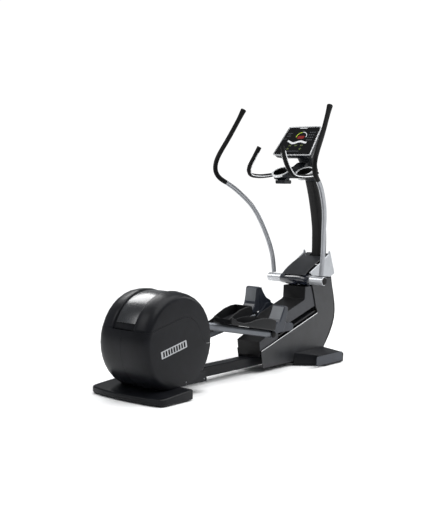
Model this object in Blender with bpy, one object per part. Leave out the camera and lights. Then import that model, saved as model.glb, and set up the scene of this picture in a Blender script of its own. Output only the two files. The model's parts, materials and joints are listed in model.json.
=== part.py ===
"""Elliptical trainer, modelled as the separate pieces that it is assembled from.

Metres, +Z up, +X towards the console end, +Y to the machine's left.
The origin is on the floor, under the middle of the whole machine.
"""
import math

import bmesh
import bpy
from mathutils import Matrix, Vector

GAP = 0.0005                    # between pieces that rest on each other
SIDES = {"left": 1.0, "right": -1.0}

# Rear base plate and front foot
PLATE_FRONT_X = -0.722
PLATE_REAR_X = -1.012
PLATE_HALF_WIDTH = 0.283
PLATE_REAR_HEIGHT = 0.042
PLATE_FRONT_HEIGHT = 0.066
PAD_HEIGHT = 0.0057
PAD_RADIUS = 0.026
FOOT_REAR_X = 0.640
FOOT_FRONT_X = 0.885
FOOT_HALF_WIDTH = 0.267
FOOT_HEIGHT = 0.068
BEAM_HALF_WIDTH = 0.040
BEAM_LOW = 0.040
BEAM_HIGH = 0.104

# Drum and drive
DRUM_X = -0.729
DRUM_Z = 0.316
DRUM_HALF_WIDTH = 0.190
DRUM_WALL = 0.004
DRUM_STEPS = 36
CHANNEL_HALF_WIDTH = 0.080
CRANK_RADIUS = 0.185
CRANK_ANGLE = math.radians(129.0)        # right pin at rest, from +X over +Z
SHAFT_RADIUS = 0.012
PULLEY_RADIUS = 0.120
SMALL_PULLEY_RADIUS = 0.020
FLYWHEEL_RADIUS = 0.065
FLYWHEEL_X = -0.850
FLYWHEEL_Z = 0.175
BELT_THICKNESS = 0.003

# Tower, slot and trolleys
SIDE_PANEL_Y = 0.095
SIDE_PANEL_THICKNESS = 0.004
INSERT_Y = 0.088
COVER_HALF_WIDTH = 0.0875
COVER_WALL = 0.004
SLOT_ANGLE = math.radians(16.3)
SLOT_MIDDLE = (0.565, 0.3094)            # roller centre at mid stroke, (x, z)
ROLLER_RADIUS = 0.020
TROLLEY_TO_PIVOT = (-0.2726, -0.0137)    # pedal pivot from the roller centre, (x, z)
TROLLEY_Y = 0.104
TROLLEY_THICKNESS = 0.018

# Pedals
ARM_Y = 0.150
ARM_RADIUS = 0.024
EYE_RADIUS = 0.022
PEDAL_INNER_Y = 0.105
PEDAL_OUTER_Y = 0.245

# Levers
AXLE_X = 0.674
AXLE_Z = 0.571
AXLE_RADIUS = 0.014
HUB_INNER_Y = 0.1195
HUB_OUTER_Y = 0.2286
HUB_RADIUS = 0.0295
LEVER_REST = math.radians(1.99)
LEVER_RADIUS = 0.0162
GRIP_RADIUS = 0.0165

# Console
FACE_CENTRE = (0.658, 1.5172)            # (x, z)
FACE_TILT = math.radians(-49.6)
FACE_HALF_HEIGHT = 0.1218
FACE_HALF_TOP = 0.125
FACE_HALF_BOTTOM = 0.146
TRAY_CENTRE = (0.605, 1.300)
TRAY_TILT = math.radians(-30.0)
CUP_Y = 0.098
CUP_RADIUS = 0.062

collection = bpy.context.scene.collection


def clear_scene():
    for item in list(bpy.data.objects):
        bpy.data.objects.remove(item, do_unlink=True)


def make_material(name, colour, roughness, metallic=0.0):
    material = bpy.data.materials.new(name)
    material.use_nodes = True
    shader = material.node_tree.nodes["Principled BSDF"]
    shader.inputs["Base Color"].default_value = (*colour, 1.0)
    shader.inputs["Roughness"].default_value = roughness
    shader.inputs["Metallic"].default_value = metallic
    material.diffuse_color = (*colour, 1.0)
    return material


# ---------------------------------------------------------------- outlines

def round_corners(points, radius, steps=4):
    """Return the outline with each corner turned into an arc; radius is one number or one per corner."""
    count = len(points)
    radii = [radius] * count if isinstance(radius, (int, float)) else radius
    result = []
    for index, corner in enumerate(points):
        here = Vector(corner)
        before = Vector(points[index - 1]) - here
        after = Vector(points[(index + 1) % count]) - here
        turn = before.angle(after)
        reach = radii[index] / math.tan(turn / 2.0) if radii[index] else 0.0
        reach = min(reach, before.length * 0.45, after.length * 0.45)
        if reach < 1e-5:
            result.append(tuple(here))
            continue
        start = here + before.normalized() * reach
        end = here + after.normalized() * reach
        for step in range(steps + 1):
            share = step / steps
            low = start.lerp(here, share)
            high = here.lerp(end, share)
            result.append(tuple(low.lerp(high, share)))
    return result


def band(points, thickness):
    """Return a closed outline that follows an open line and is as thick as asked on its right side."""
    line = [Vector(point) for point in points]
    inner = []
    for index, here in enumerate(line):
        ahead = (line[min(index + 1, len(line) - 1)] - here)
        behind = (here - line[max(index - 1, 0)])
        directions = [item.normalized() for item in (behind, ahead) if item.length > 0.0]
        normals = [Vector((item.y, -item.x)) for item in directions]
        middle = sum(normals, Vector((0.0, 0.0))).normalized()
        inner.append(here + middle * (thickness / max(middle.dot(normals[0]), 0.5)))
    return [tuple(point) for point in line] + [tuple(point) for point in reversed(inner)]


def smooth_path(points, steps=5):
    """Return points on a Catmull-Rom curve through the given points."""
    guide = [Vector(point) for point in points]
    guide = [2.0 * guide[0] - guide[1]] + guide + [2.0 * guide[-1] - guide[-2]]
    path = []
    for index in range(1, len(guide) - 2):
        a, b, c, d = guide[index - 1:index + 3]
        for step in range(steps):
            t = step / steps
            path.append(0.5 * (2.0 * b + (c - a) * t + (2.0 * a - 5.0 * b + 4.0 * c - d) * t * t
                               + (3.0 * b - a - 3.0 * c + d) * t ** 3))
    path.append(guide[-2])
    return path


# ---------------------------------------------------------------- solids

def place_mesh(name, mesh_edit, material, parent=None, bevel=0.0, bevel_angle=45.0):
    """Close the mesh edit into a named object."""
    bmesh.ops.remove_doubles(mesh_edit, verts=mesh_edit.verts, dist=0.00002)
    loose = [edge for edge in mesh_edit.edges if not edge.link_faces]
    bmesh.ops.delete(mesh_edit, geom=loose, context="EDGES")
    bmesh.ops.recalc_face_normals(mesh_edit, faces=mesh_edit.faces)
    mesh = bpy.data.meshes.new(name)
    mesh_edit.to_mesh(mesh)
    mesh_edit.free()
    mesh.materials.append(material)
    mesh.shade_smooth()
    mesh.set_sharp_from_angle(angle=math.radians(35.0))
    piece = bpy.data.objects.new(name, mesh)
    piece.parent = parent
    collection.objects.link(piece)
    if bevel:
        rounding = piece.modifiers.new("rounding", "BEVEL")
        rounding.width = bevel
        rounding.segments = 1
        rounding.limit_method = "ANGLE"
        rounding.angle_limit = math.radians(bevel_angle)
    return piece


def prism(name, outline, low, high, material, plane="XZ", parent=None, bevel=0.0):
    """Extrude an outline: (x, z) pairs along Y, or (x, y) pairs along Z."""
    edit = bmesh.new()
    if plane == "XZ":
        corners = [edit.verts.new((a, low, b)) for a, b in outline]
        shift = Vector((0.0, high - low, 0.0))
    else:
        corners = [edit.verts.new((a, b, low)) for a, b in outline]
        shift = Vector((0.0, 0.0, high - low))
    face = edit.faces.new(corners)
    grown = bmesh.ops.extrude_face_region(edit, geom=[face])["geom"]
    moved = [item for item in grown if isinstance(item, bmesh.types.BMVert)]
    bmesh.ops.translate(edit, verts=moved, vec=shift)
    return place_mesh(name, edit, material, parent, bevel)


def side_prism(name, outline, side, inner, outer, material, parent=None, bevel=0.0):
    """Extrude an (x, z) outline between two distances from the middle plane, on one side."""
    low, high = sorted((side * inner, side * outer))
    return prism(name, outline, low, high, material, "XZ", parent, bevel)


def rod(name, centre, radius, low, high, material, parent=None, segments=24):
    """A cylinder along Y; centre is (x, z)."""
    edit = bmesh.new()
    place = Matrix.Translation((centre[0], (low + high) / 2.0, centre[1])) @ Matrix.Rotation(math.pi / 2.0, 4, "X")
    bmesh.ops.create_cone(edit, cap_ends=True, segments=segments, radius1=radius, radius2=radius,
                          depth=high - low, matrix=place)
    return place_mesh(name, edit, material, parent)


def turned(name, profile, centre, material, parent=None, steps=32, start=0.0, sweep=None):
    """Turn a closed (y, radius) profile about an axis along Y; centre is (x, z)."""
    edit = bmesh.new()
    turn = Matrix.Rotation(-start, 4, "Y")
    corners = [edit.verts.new(turn @ Vector((radius, y, 0.0))) for y, radius in profile]
    face = edit.faces.new(corners)
    if sweep is None:
        edges = list(face.edges)
        edit.faces.remove(face)
        bmesh.ops.spin(edit, geom=edges, cent=(0.0, 0.0, 0.0), axis=(0.0, 1.0, 0.0),
                       angle=math.tau, steps=steps, use_merge=True)
    else:
        edges = list(face.edges)
        spun = bmesh.ops.spin(edit, geom=edges, cent=(0.0, 0.0, 0.0), axis=(0.0, -1.0, 0.0),
                              angle=sweep, steps=steps)
        last = [item for item in spun["geom_last"] if isinstance(item, bmesh.types.BMEdge)]
        bmesh.ops.contextual_create(edit, geom=last)
    bmesh.ops.translate(edit, verts=edit.verts, vec=(centre[0], 0.0, centre[1]))
    return place_mesh(name, edit, material, parent)


def loft(name, rings, material, parent=None, bevel=0.0):
    """Bridge closed rings of points and fill both ends."""
    edit = bmesh.new()
    loops = []
    for ring in rings:
        corners = [edit.verts.new(point) for point in ring]
        loops.append([edit.edges.new((corners[index - 1], corners[index])) for index in range(len(corners))])
    for first, second in zip(loops, loops[1:]):
        bmesh.ops.bridge_loops(edit, edges=first + second)
    bmesh.ops.contextual_create(edit, geom=loops[0])
    bmesh.ops.contextual_create(edit, geom=loops[-1])
    return place_mesh(name, edit, material, parent, bevel)


def path_rings(path, size, sides=12, squareness=2.0):
    """Rings across a path; size(share) gives the half depth (in the XZ plane) and the half width."""
    rings = []
    for index, here in enumerate(path):
        along = (path[min(index + 1, len(path) - 1)] - path[max(index - 1, 0)]).normalized()
        across = Vector((0.0, 1.0, 0.0))
        if abs(along.y) > 0.9:
            across = Vector((1.0, 0.0, 0.0))
        across = (across - along * across.dot(along)).normalized()
        deep = across.cross(along)
        half_depth, half_width = size(index / (len(path) - 1))
        ring = []
        for step in range(sides):
            angle = math.tau * (step + 0.5) / sides
            cosine, sine = math.cos(angle), math.sin(angle)
            ring.append(here + deep * half_depth * math.copysign(abs(cosine) ** (2.0 / squareness), cosine)
                        + across * half_width * math.copysign(abs(sine) ** (2.0 / squareness), sine))
        rings.append(ring)
    return rings


def split_rings(path, at, first_size, second_size, sides=12, squareness=2.0):
    """Rings of two solids that meet at one point of a path, face to face with a small gap."""
    first = path_rings(path, first_size, sides, squareness)[:at + 1]
    second = path_rings(path, second_size, sides, squareness)[at:]
    step = (path[at + 1] - path[at]).normalized() * GAP
    second[0] = [point + step for point in second[0]]
    return first, second


def cut(piece, cutter, operation="DIFFERENCE"):
    """Apply one exact Boolean with a hidden operand."""
    cutter.hide_render = True
    cutter.display_type = "WIRE"
    step = piece.modifiers.new(cutter.name, "BOOLEAN")
    step.operation = operation
    step.solver = "EXACT"
    step.object = cutter


def block(name, low, high, material, parent=None):
    """A plain box between two corners."""
    outline = [(low[0], low[2]), (high[0], low[2]), (high[0], high[2]), (low[0], high[2])]
    return prism(name, outline, low[1], high[1], material, "XZ", parent)


def pivot(name, x, z, tilt=0.0):
    """An empty on an axis along Y."""
    empty = bpy.data.objects.new(name, None)
    empty.location = (x, 0.0, z)
    empty.rotation_euler = (0.0, tilt, 0.0)
    collection.objects.link(empty)
    return empty


# ---------------------------------------------------------------- base

def plate_top(x):
    share = (x - PLATE_REAR_X) / (PLATE_FRONT_X - PLATE_REAR_X)
    return PLATE_REAR_HEIGHT + share * (PLATE_FRONT_HEIGHT - PLATE_REAR_HEIGHT)


def build_base(charcoal, rubber, beam_paint):
    bow = 0.030
    rear_edge = [(PLATE_REAR_X + bow * t * t, PLATE_HALF_WIDTH * t) for t in (1.0, 0.6, 0.2, -0.2, -0.6, -1.0)]
    corners = [(PLATE_FRONT_X, -PLATE_HALF_WIDTH), (PLATE_FRONT_X, PLATE_HALF_WIDTH)] + rear_edge
    outline = round_corners(corners, [0.01, 0.01, 0.045, 0.3, 0.3, 0.3, 0.3, 0.045], 3)
    plate = prism("rear_base_plate", outline, PAD_HEIGHT + GAP, 0.05, charcoal, "XY", bevel=0.006)
    for vertex in plate.data.vertices:
        if vertex.co.z > 0.02:
            vertex.co.z = plate_top(vertex.co.x)

    low = PAD_HEIGHT + GAP
    foot = block("front_cross_foot", (FOOT_REAR_X, -0.1012, low), (FOOT_FRONT_X, 0.1012, FOOT_HEIGHT), charcoal)
    for side_name, side in SIDES.items():
        rings = []
        for y, rear, front, top in ((0.1005, 0.510, 0.885, 0.088), (0.190, 0.590, 0.885, 0.0785),
                                    (0.255, 0.640, 0.885, 0.0710), (FOOT_HALF_WIDTH, 0.648, 0.878, 0.066)):
            outline = round_corners([(rear + 0.006, low), (front - 0.006, low), (front, top), (rear + 0.012, top)],
                                    [0.004, 0.004, 0.012, 0.012], 2)
            rings.append([(x, side * y, z) for x, z in outline])
        cut(foot, loft(f"foot_wing_{side_name}", rings, charcoal), "UNION")

    for side_name, side in SIDES.items():
        for end_name, x, y in (("rear", -0.915, 0.215), ("front", 0.765, 0.235)):
            edit = bmesh.new()
            bmesh.ops.create_cone(edit, cap_ends=True, segments=24, radius1=PAD_RADIUS, radius2=PAD_RADIUS,
                                  depth=PAD_HEIGHT, matrix=Matrix.Translation((x, side * y, PAD_HEIGHT / 2.0)))
            place_mesh(f"{end_name}_pad_{side_name}", edit, rubber)

    beam = [(PLATE_FRONT_X + GAP, BEAM_LOW), (FOOT_REAR_X - GAP, BEAM_LOW),
            (FOOT_REAR_X - GAP, BEAM_HIGH), (PLATE_FRONT_X + GAP, BEAM_HIGH)]
    prism("main_beam", beam, -BEAM_HALF_WIDTH, BEAM_HALF_WIDTH, beam_paint, bevel=0.006)


# ---------------------------------------------------------------- drum

def drum_profile(side):
    """Closed (y, radius) outline of one half of the drum's shell, from the middle plane to the side's centre."""
    outer = [(GAP, 0.2955), (0.06, 0.2952), (0.105, 0.2935), (0.140, 0.2895), (0.165, 0.2835),
             (0.180, 0.2750), (0.188, 0.2640), (DRUM_HALF_WIDTH, 0.2510), (DRUM_HALF_WIDTH, 0.0)]
    inner = [(DRUM_HALF_WIDTH - DRUM_WALL, 0.0), (DRUM_HALF_WIDTH - DRUM_WALL, 0.2495), (0.1845, 0.2615),
             (0.177, 0.2715), (0.163, 0.2797), (0.139, 0.2855), (0.105, 0.2895), (0.06, 0.2912), (GAP, 0.2915)]
    return [(side * y, radius) for y, radius in outer + inner]


def cap_profile():
    """Closed (y, radius) outline of the cap's shell, with its sunk channel."""
    outer = [(0.0, 0.2795), (CHANNEL_HALF_WIDTH - 0.004, 0.2785), (CHANNEL_HALF_WIDTH, 0.2815),
             (CHANNEL_HALF_WIDTH + 0.002, 0.2895), (0.092, 0.2922), (0.110, 0.2912), (0.140, 0.2872),
             (0.165, 0.2812), (0.180, 0.2730), (0.188, 0.2620), (DRUM_HALF_WIDTH - 0.001, 0.2490),
             (DRUM_HALF_WIDTH - 0.001, 0.05)]
    inner = [(DRUM_HALF_WIDTH - DRUM_WALL - 0.001, 0.05), (DRUM_HALF_WIDTH - DRUM_WALL - 0.001, 0.2475),
             (0.1835, 0.2595), (0.176, 0.2695), (0.162, 0.2775), (0.139, 0.2832), (0.110, 0.2872),
             (0.094, 0.2882), (0.088, 0.2855), (0.084, 0.2745), (0.0, 0.2750)]
    half = outer + inner
    mirrored = [(-y, radius) for y, radius in outer[1:]]
    mirrored_inner = [(-y, radius) for y, radius in inner[:-1]]
    return half + list(reversed(mirrored_inner)) + list(reversed(mirrored))


def seam_line(lift):
    """The line that parts the cap from the lower shells, from behind the drum to in front of it."""
    line = [(-1.100, 0.403), (-0.969, 0.404), (-0.905, 0.421), (-0.824, 0.438), (-0.740, 0.457), (-0.680, 0.464),
            (-0.628, 0.446), (-0.583, 0.409), (-0.555, 0.362), (-0.536, 0.313), (-0.500, 0.290), (-0.400, 0.285)]
    return [(x + (lift if x > -0.65 else 0.0), z + lift) for x, z in line]


def build_drum(charcoal, gloss):
    centre = (DRUM_X, DRUM_Z)
    above = prism("space_above_seam", seam_line(0.0006) + [(-0.40, 0.70), (-1.10, 0.70)], -0.25, 0.25, charcoal)
    floor_line = [(-0.40, 0.0625), (-0.655, PLATE_FRONT_HEIGHT + 0.001), (PLATE_FRONT_X, PLATE_FRONT_HEIGHT + 0.001),
                  (PLATE_REAR_X - 0.09, plate_top(PLATE_REAR_X - 0.09) + 0.001)]
    below = prism("space_below_seam", list(reversed(seam_line(-0.0006))) + list(reversed(floor_line)),
                  -0.25, 0.25, charcoal)
    beam_way = block("way_for_beam", (-0.80, -0.042, 0.0), (-0.40, 0.042, BEAM_HIGH + 0.002), charcoal)
    arm_ways = {}
    for side_name, side in SIDES.items():
        low, high = sorted((side * 0.118, side * 0.182))
        arm_ways[side_name] = block(f"way_for_arm_{side_name}", (-0.62, low, 0.135), (-0.38, high, 0.492), charcoal)

    cap = turned("drum_upper_cap", cap_profile(), centre, charcoal, steps=DRUM_STEPS)
    cut(cap, above, "INTERSECT")
    for way in arm_ways.values():
        cut(cap, way)

    for side_name, side in SIDES.items():
        shell = turned(f"drum_lower_{side_name}", drum_profile(side), centre, charcoal, steps=DRUM_STEPS)
        toe = [(-0.700, 0.0672), (-0.640, 0.0672), (-0.495, 0.0640), (-0.505, 0.126), (-0.700, 0.126)]
        toe_block = side_prism(f"toe_block_{side_name}", toe, side, 0.135, 0.1893, charcoal)
        cut(shell, below, "INTERSECT")
        cut(shell, toe_block, "UNION")
        cut(shell, beam_way)
        cut(shell, arm_ways[side_name])

    panel = [(-0.074, 0.2801), (0.074, 0.2801), (0.074, 0.2830), (0.045, 0.2860), (0.0, 0.2870),
             (-0.045, 0.2860), (-0.074, 0.2830)]
    turned("drum_channel_panel", panel, centre, gloss, steps=18, start=math.radians(42.0),
           sweep=math.radians(112.0))


def build_drive(steel, cast_iron, rubber):
    x, z = DRUM_X, DRUM_Z
    upright = [(-0.800, plate_top(-0.800) + GAP), (PLATE_FRONT_X, PLATE_FRONT_HEIGHT + GAP),
               (-0.660, PLATE_FRONT_HEIGHT + GAP), (-0.688, 0.350), (-0.712, 0.366), (-0.746, 0.366),
               (-0.776, 0.350), (-0.850, 0.215), (-0.900, 0.190), (-0.885, 0.130), (-0.840, 0.085)]
    frame = prism("rear_frame", upright, -0.058, 0.058, steel)
    cut(frame, block("space_between_plates", (-1.0, -0.050, 0.0755), (-0.6, 0.050, 0.40), steel))
    cut(frame, block("space_for_beam_end", (PLATE_FRONT_X - GAP, -0.050, 0.0), (-0.6, 0.050, 0.09), steel))
    cut(frame, rod("crankshaft_bore", (x, z), SHAFT_RADIUS + 0.0003, -0.07, 0.07, steel))
    cut(frame, rod("flywheel_bore", (FLYWHEEL_X, FLYWHEEL_Z), 0.0083, -0.07, 0.07, steel))

    rod("crankshaft", (x, z), SHAFT_RADIUS, -0.0975, 0.0975, steel)
    for side_name, side in SIDES.items():
        angle = CRANK_ANGLE if side_name == "right" else CRANK_ANGLE + math.pi
        pin = (x + CRANK_RADIUS * math.cos(angle), z + CRANK_RADIUS * math.sin(angle))
        outline = []
        for centre, radius, facing in (((x, z), 0.030, angle + math.pi), (pin, 0.021, angle)):
            for step in range(9):
                around = facing - math.pi / 2.0 + math.pi * step / 8
                outline.append((centre[0] + radius * math.cos(around), centre[1] + radius * math.sin(around)))
        arm = side_prism(f"crank_arm_{side_name}", outline, side, 0.098, 0.112, steel)
        low, high = sorted((side * 0.105, side * 0.1252))
        cut(arm, rod(f"crank_pin_{side_name}", pin, 0.010, low, high, steel), "UNION")

    rim = PULLEY_RADIUS
    pulley = [(0.002, SHAFT_RADIUS + 0.0003), (0.002, 0.030), (0.009, 0.034), (0.009, rim - 0.014),
              (0.002, rim - 0.010), (0.002, rim), (0.022, rim), (0.022, rim - 0.010), (0.014, rim - 0.014),
              (0.014, 0.034), (0.022, 0.030), (0.022, SHAFT_RADIUS + 0.0003)]
    turned("drive_pulley", pulley, (x, z), cast_iron, steps=24)
    wheel = [(-0.057, 0.0), (-0.057, 0.008), (-0.044, 0.008), (-0.044, FLYWHEEL_RADIUS - 0.002),
             (-0.042, FLYWHEEL_RADIUS), (-0.010, FLYWHEEL_RADIUS), (-0.008, FLYWHEEL_RADIUS - 0.002),
             (-0.008, 0.010), (0.002, 0.010), (0.002, SMALL_PULLEY_RADIUS), (0.022, SMALL_PULLEY_RADIUS),
             (0.022, 0.008), (0.057, 0.008), (0.057, 0.0)]
    turned("flywheel", wheel, (FLYWHEEL_X, FLYWHEEL_Z), cast_iron, steps=20)

    def belt_outline(extra):
        """Outline round both pulleys, this far off their rims."""
        dx, dz = FLYWHEEL_X - x, FLYWHEEL_Z - z
        distance = math.hypot(dx, dz)
        heading = math.atan2(dz, dx)
        lean = math.acos((PULLEY_RADIUS - SMALL_PULLEY_RADIUS) / distance)
        points = []
        for step in range(25):
            around = heading + lean + (math.tau - 2.0 * lean) * step / 24
            reach = PULLEY_RADIUS + extra
            points.append((x + reach * math.cos(around), z + reach * math.sin(around)))
        for step in range(9):
            around = heading - lean + 2.0 * lean * step / 8
            reach = SMALL_PULLEY_RADIUS + extra
            points.append((FLYWHEEL_X + reach * math.cos(around), FLYWHEEL_Z + reach * math.sin(around)))
        return points

    belt = prism("drive_belt", belt_outline(0.0015 + BELT_THICKNESS), 0.004, 0.020, rubber)
    cut(belt, prism("inside_of_belt", belt_outline(0.0015), 0.0, 0.03, rubber))


# ---------------------------------------------------------------- tower

def slot_line(x, lift):
    return SLOT_MIDDLE[1] + math.tan(SLOT_ANGLE) * (x - SLOT_MIDDLE[0]) + lift


def groove_line(x):
    """Height of the groove where the side panel meets the insert above it."""
    return 0.147 + 0.2956 * (x - 0.152)


def build_tower(panel_grey, insert_grey, dark, silver, boss_gloss, steel):
    post = [(0.660, FOOT_HEIGHT + GAP), (0.860, FOOT_HEIGHT + GAP), (0.930, 0.300), (0.935, 0.560), (0.920, 0.655),
            (0.860, 0.655), (0.760, 0.590), (0.735, 0.500), (0.700, 0.400), (0.660, 0.300)]
    prism("tower_post", post, -0.028, 0.028, steel)

    front_edge = [(0.955, 0.571), (0.966, 0.513), (0.986, 0.441), (0.999, 0.375), (1.0035, 0.331), (0.997, 0.285),
                  (0.978, 0.236), (0.945, 0.182), (0.905, 0.128), (0.878, 0.085), (0.872, FOOT_HEIGHT + 0.003)]
    side_panel = ([(0.177, 0.030), (0.152, 0.1455), (0.800, groove_line(0.800) - 0.0015), (0.7765, 0.371),
                   (0.7665, 0.406), (0.7485, 0.463), (0.7235, 0.532), (0.7245, 0.556), (0.752, 0.590),
                   (0.925, 0.5705)] + front_edge + [(0.636, FOOT_HEIGHT + 0.003), (0.636, 0.030)])
    insert = [(0.228, 0.2375), (0.378, 0.3525), (0.443, 0.3725), (0.535, 0.4015), (0.629, 0.4305), (0.6475, 0.441),
              (0.6515, 0.525), (0.7215, 0.525), (0.7465, 0.462), (0.7645, 0.405), (0.776, 0.3855), (0.515, 0.311),
              (0.352, 0.2640), (0.346, 0.256), (0.346, groove_line(0.346)), (0.152, 0.1470), (0.1425, 0.205)]
    for side_name, side in SIDES.items():
        side_prism(f"tower_side_{side_name}", side_panel, side, SIDE_PANEL_Y,
                   SIDE_PANEL_Y + SIDE_PANEL_THICKNESS, panel_grey, bevel=0.0015)
        side_prism(f"tower_insert_{side_name}", insert, side, INSERT_Y,
                   INSERT_Y + SIDE_PANEL_THICKNESS, insert_grey, bevel=0.0012)
        rail = [(0.352, slot_line(0.352, -ROLLER_RADIUS - 0.0128)), (0.786, slot_line(0.786, -ROLLER_RADIUS - 0.0128)),
                (0.786, slot_line(0.786, -ROLLER_RADIUS - 0.0010)), (0.352, slot_line(0.352, -ROLLER_RADIUS - 0.0010))]
        side_prism(f"rail_{side_name}", rail, side, 0.0285, 0.086, steel)
        wing = [(0.672, 0.6185), (0.735, 0.6500), (0.805, 0.6830), (0.870, 0.7180), (0.903, 0.7350), (0.914, 0.7580),
                (0.923, 0.7560), (0.984, 0.6010), (0.972, 0.5900), (0.929, 0.5760), (0.745, 0.5960), (0.716, 0.5960)]
        side_prism(f"wing_{side_name}", round_corners(wing, 0.006, 2), side, SIDE_PANEL_Y + 0.0045,
                   SIDE_PANEL_Y + 0.016, silver, bevel=0.003)

    spine = [(0.156, BEAM_HIGH + 0.003), (0.152, 0.147), (0.1425, 0.205), (0.228, 0.2375), (0.378, 0.3525),
             (0.443, 0.3725), (0.535, 0.4015), (0.629, 0.4305), (0.6475, 0.441), (0.6515, 0.524)]
    prism("spine_cover", band(spine, COVER_WALL), -COVER_HALF_WIDTH, COVER_HALF_WIDTH, dark)

    nose = [(0.963, 0.588), (0.981, 0.513), (1.004, 0.441), (1.020, 0.375), (1.0245, 0.331), (1.019, 0.280),
            (0.998, 0.226), (0.964, 0.170), (0.923, 0.120), (0.895, 0.0880), (0.889, FOOT_HEIGHT + 0.003)]
    prism("nose_cover", band(nose, 0.014), -SIDE_PANEL_Y + GAP, SIDE_PANEL_Y - GAP, dark)

    hood_line = [(0.636, 0.606), (0.664, 0.6265), (0.700, 0.648), (0.760, 0.677), (0.820, 0.700), (0.880, 0.7175),
                 (0.940, 0.7385), (0.949, 0.728), (0.981, 0.602)]
    hood = prism("hood", band(hood_line, COVER_WALL), -SIDE_PANEL_Y, SIDE_PANEL_Y, dark)
    cut(hood, block("way_for_mast", (0.886, -0.0465, 0.5), (1.1, 0.0465, 0.9), dark))

    boss = [(-0.1190, AXLE_RADIUS + 0.0003), (-0.1190, 0.0300), (-0.112, 0.0345), (-0.060, 0.0400), (0.0, 0.0425),
            (0.060, 0.0400), (0.112, 0.0345), (0.1190, 0.0300), (0.1190, AXLE_RADIUS + 0.0003)]
    turned("axle_boss", boss, (AXLE_X, AXLE_Z), boss_gloss, steps=20)
    rod("lever_axle", (AXLE_X, AXLE_Z), AXLE_RADIUS, -HUB_OUTER_Y + GAP, HUB_OUTER_Y - GAP, steel)


def build_mast(mast_paint, shroud_plastic):
    line = smooth_path([(0.943, 0.0, 0.657), (0.946, 0.0, 0.780), (0.941, 0.0, 0.900), (0.916, 0.0, 1.030),
                        (0.878, 0.0, 1.160), (0.840, 0.0, 1.255), (0.808, 0.0, 1.325), (0.782, 0.0, 1.385),
                        (0.7525, 0.0, 1.4368), (0.7340, 0.0, 1.4525), (0.7147, 0.0, 1.4689)], 3)
    top = 15

    def mast_size(share):
        return 0.0475 - 0.008 * share, 0.045

    def neck_size(share):
        widening = max(0.0, (share * (len(line) - 1) - top) / (len(line) - 1 - top))
        return 0.0425 + 0.028 * widening ** 2, 0.045 + 0.058 * widening ** 1.5

    mast, neck = split_rings(line, top, mast_size, neck_size, 12, 3.5)
    loft("mast", mast, mast_paint)
    loft("neck_shroud", neck, shroud_plastic)


# ---------------------------------------------------------------- console

def build_console(housing_plastic, glass, key_plastic, silver, black):
    face = pivot("console_frame", FACE_CENTRE[0], FACE_CENTRE[1], FACE_TILT)

    def slab(grow):
        corners = [(-FACE_HALF_HEIGHT - grow, -FACE_HALF_BOTTOM - grow), (FACE_HALF_HEIGHT + grow, -FACE_HALF_TOP - grow),
                   (FACE_HALF_HEIGHT + grow, FACE_HALF_TOP + grow), (-FACE_HALF_HEIGHT - grow, FACE_HALF_BOTTOM + grow)]
        return round_corners(corners, 0.009, 3)

    rings = []
    for depth, grow in ((-0.0038, 0.0), (-0.012, 0.002), (-0.040, -0.002), (-0.072, -0.022)):
        rings.append([(x, y, depth) for x, y in slab(grow)])
    loft("console_housing", rings, housing_plastic, face)
    display = prism("console_face", slab(-0.0015), -0.0033, 0.0, glass, "XY", face)
    for name, y in (("start_key", 0.050), ("stop_key", -0.050)):
        hole = bmesh.new()
        bmesh.ops.create_cone(hole, cap_ends=True, segments=20, radius1=0.0098, radius2=0.0098, depth=0.02,
                              matrix=Matrix.Translation((-0.078, y, 0.0)))
        cut(display, place_mesh(f"hole_for_{name}", hole, glass, face))
        key = bmesh.new()
        bmesh.ops.create_cone(key, cap_ends=True, segments=20, radius1=0.0092, radius2=0.0080, depth=0.0045,
                              matrix=Matrix.Translation((-0.078, y, 0.00045)))
        place_mesh(name, key, key_plastic, face)

    tray_frame = pivot("tray_frame", TRAY_CENTRE[0], TRAY_CENTRE[1], TRAY_TILT)
    body = round_corners([(-0.050, -0.100), (0.062, -0.100), (0.070, -0.045), (0.132, -0.040),
                          (0.132, 0.040), (0.070, 0.045), (0.062, 0.100), (-0.050, 0.100)], 0.010, 2)
    tray = prism("accessory_tray", body, -0.018, 0.004, silver, "XY", tray_frame)
    for side_name, side in SIDES.items():
        for name, radius, low, high, operation in (("cup_wall", CUP_RADIUS, -0.026, 0.006, "UNION"),
                                                   ("cup_space", CUP_RADIUS - 0.008, -0.022, 0.030, "DIFFERENCE")):
            cup = bmesh.new()
            bmesh.ops.create_cone(cup, cap_ends=True, segments=24, radius1=radius - 0.003, radius2=radius,
                                  depth=high - low,
                                  matrix=Matrix.Translation((0.0, side * CUP_Y, (low + high) / 2.0)))
            cut(tray, place_mesh(f"{name}_{side_name}", cup, silver, tray_frame), operation)

    pod = [(0.556, 1.222), (0.636, 1.222), (0.640, 1.230), (0.640, 1.2470), (0.552, 1.2470), (0.552, 1.230)]
    prism("reader_pod", pod, 0.034, 0.108, black, bevel=0.003)


def build_handlebars(black, grip_rubber):
    for side_name, side in SIDES.items():
        def mirrored(points):
            return [(x, side * y, z) for x, y, z in points]

        bar = smooth_path(mirrored([(0.349, 0.093, 1.464), (0.334, 0.122, 1.397), (0.327, 0.152, 1.340),
                                    (0.340, 0.169, 1.303), (0.376, 0.177, 1.278), (0.466, 0.179, 1.271),
                                    (0.560, 0.180, 1.276), (0.622, 0.176, 1.284), (0.662, 0.158, 1.293),
                                    (0.690, 0.131, 1.300), (0.722, 0.106, 1.308), (0.757, 0.084, 1.315),
                                    (0.784, 0.0665, 1.320)]), 3)
        grip, rest = split_rings(bar, 9, lambda share: (0.0165, 0.0165), lambda share: (0.0150, 0.0150), 10)
        loft(f"sensor_grip_{side_name}", grip, grip_rubber)
        loft(f"handlebar_{side_name}", rest, black)


# ---------------------------------------------------------------- pedal train

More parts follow.
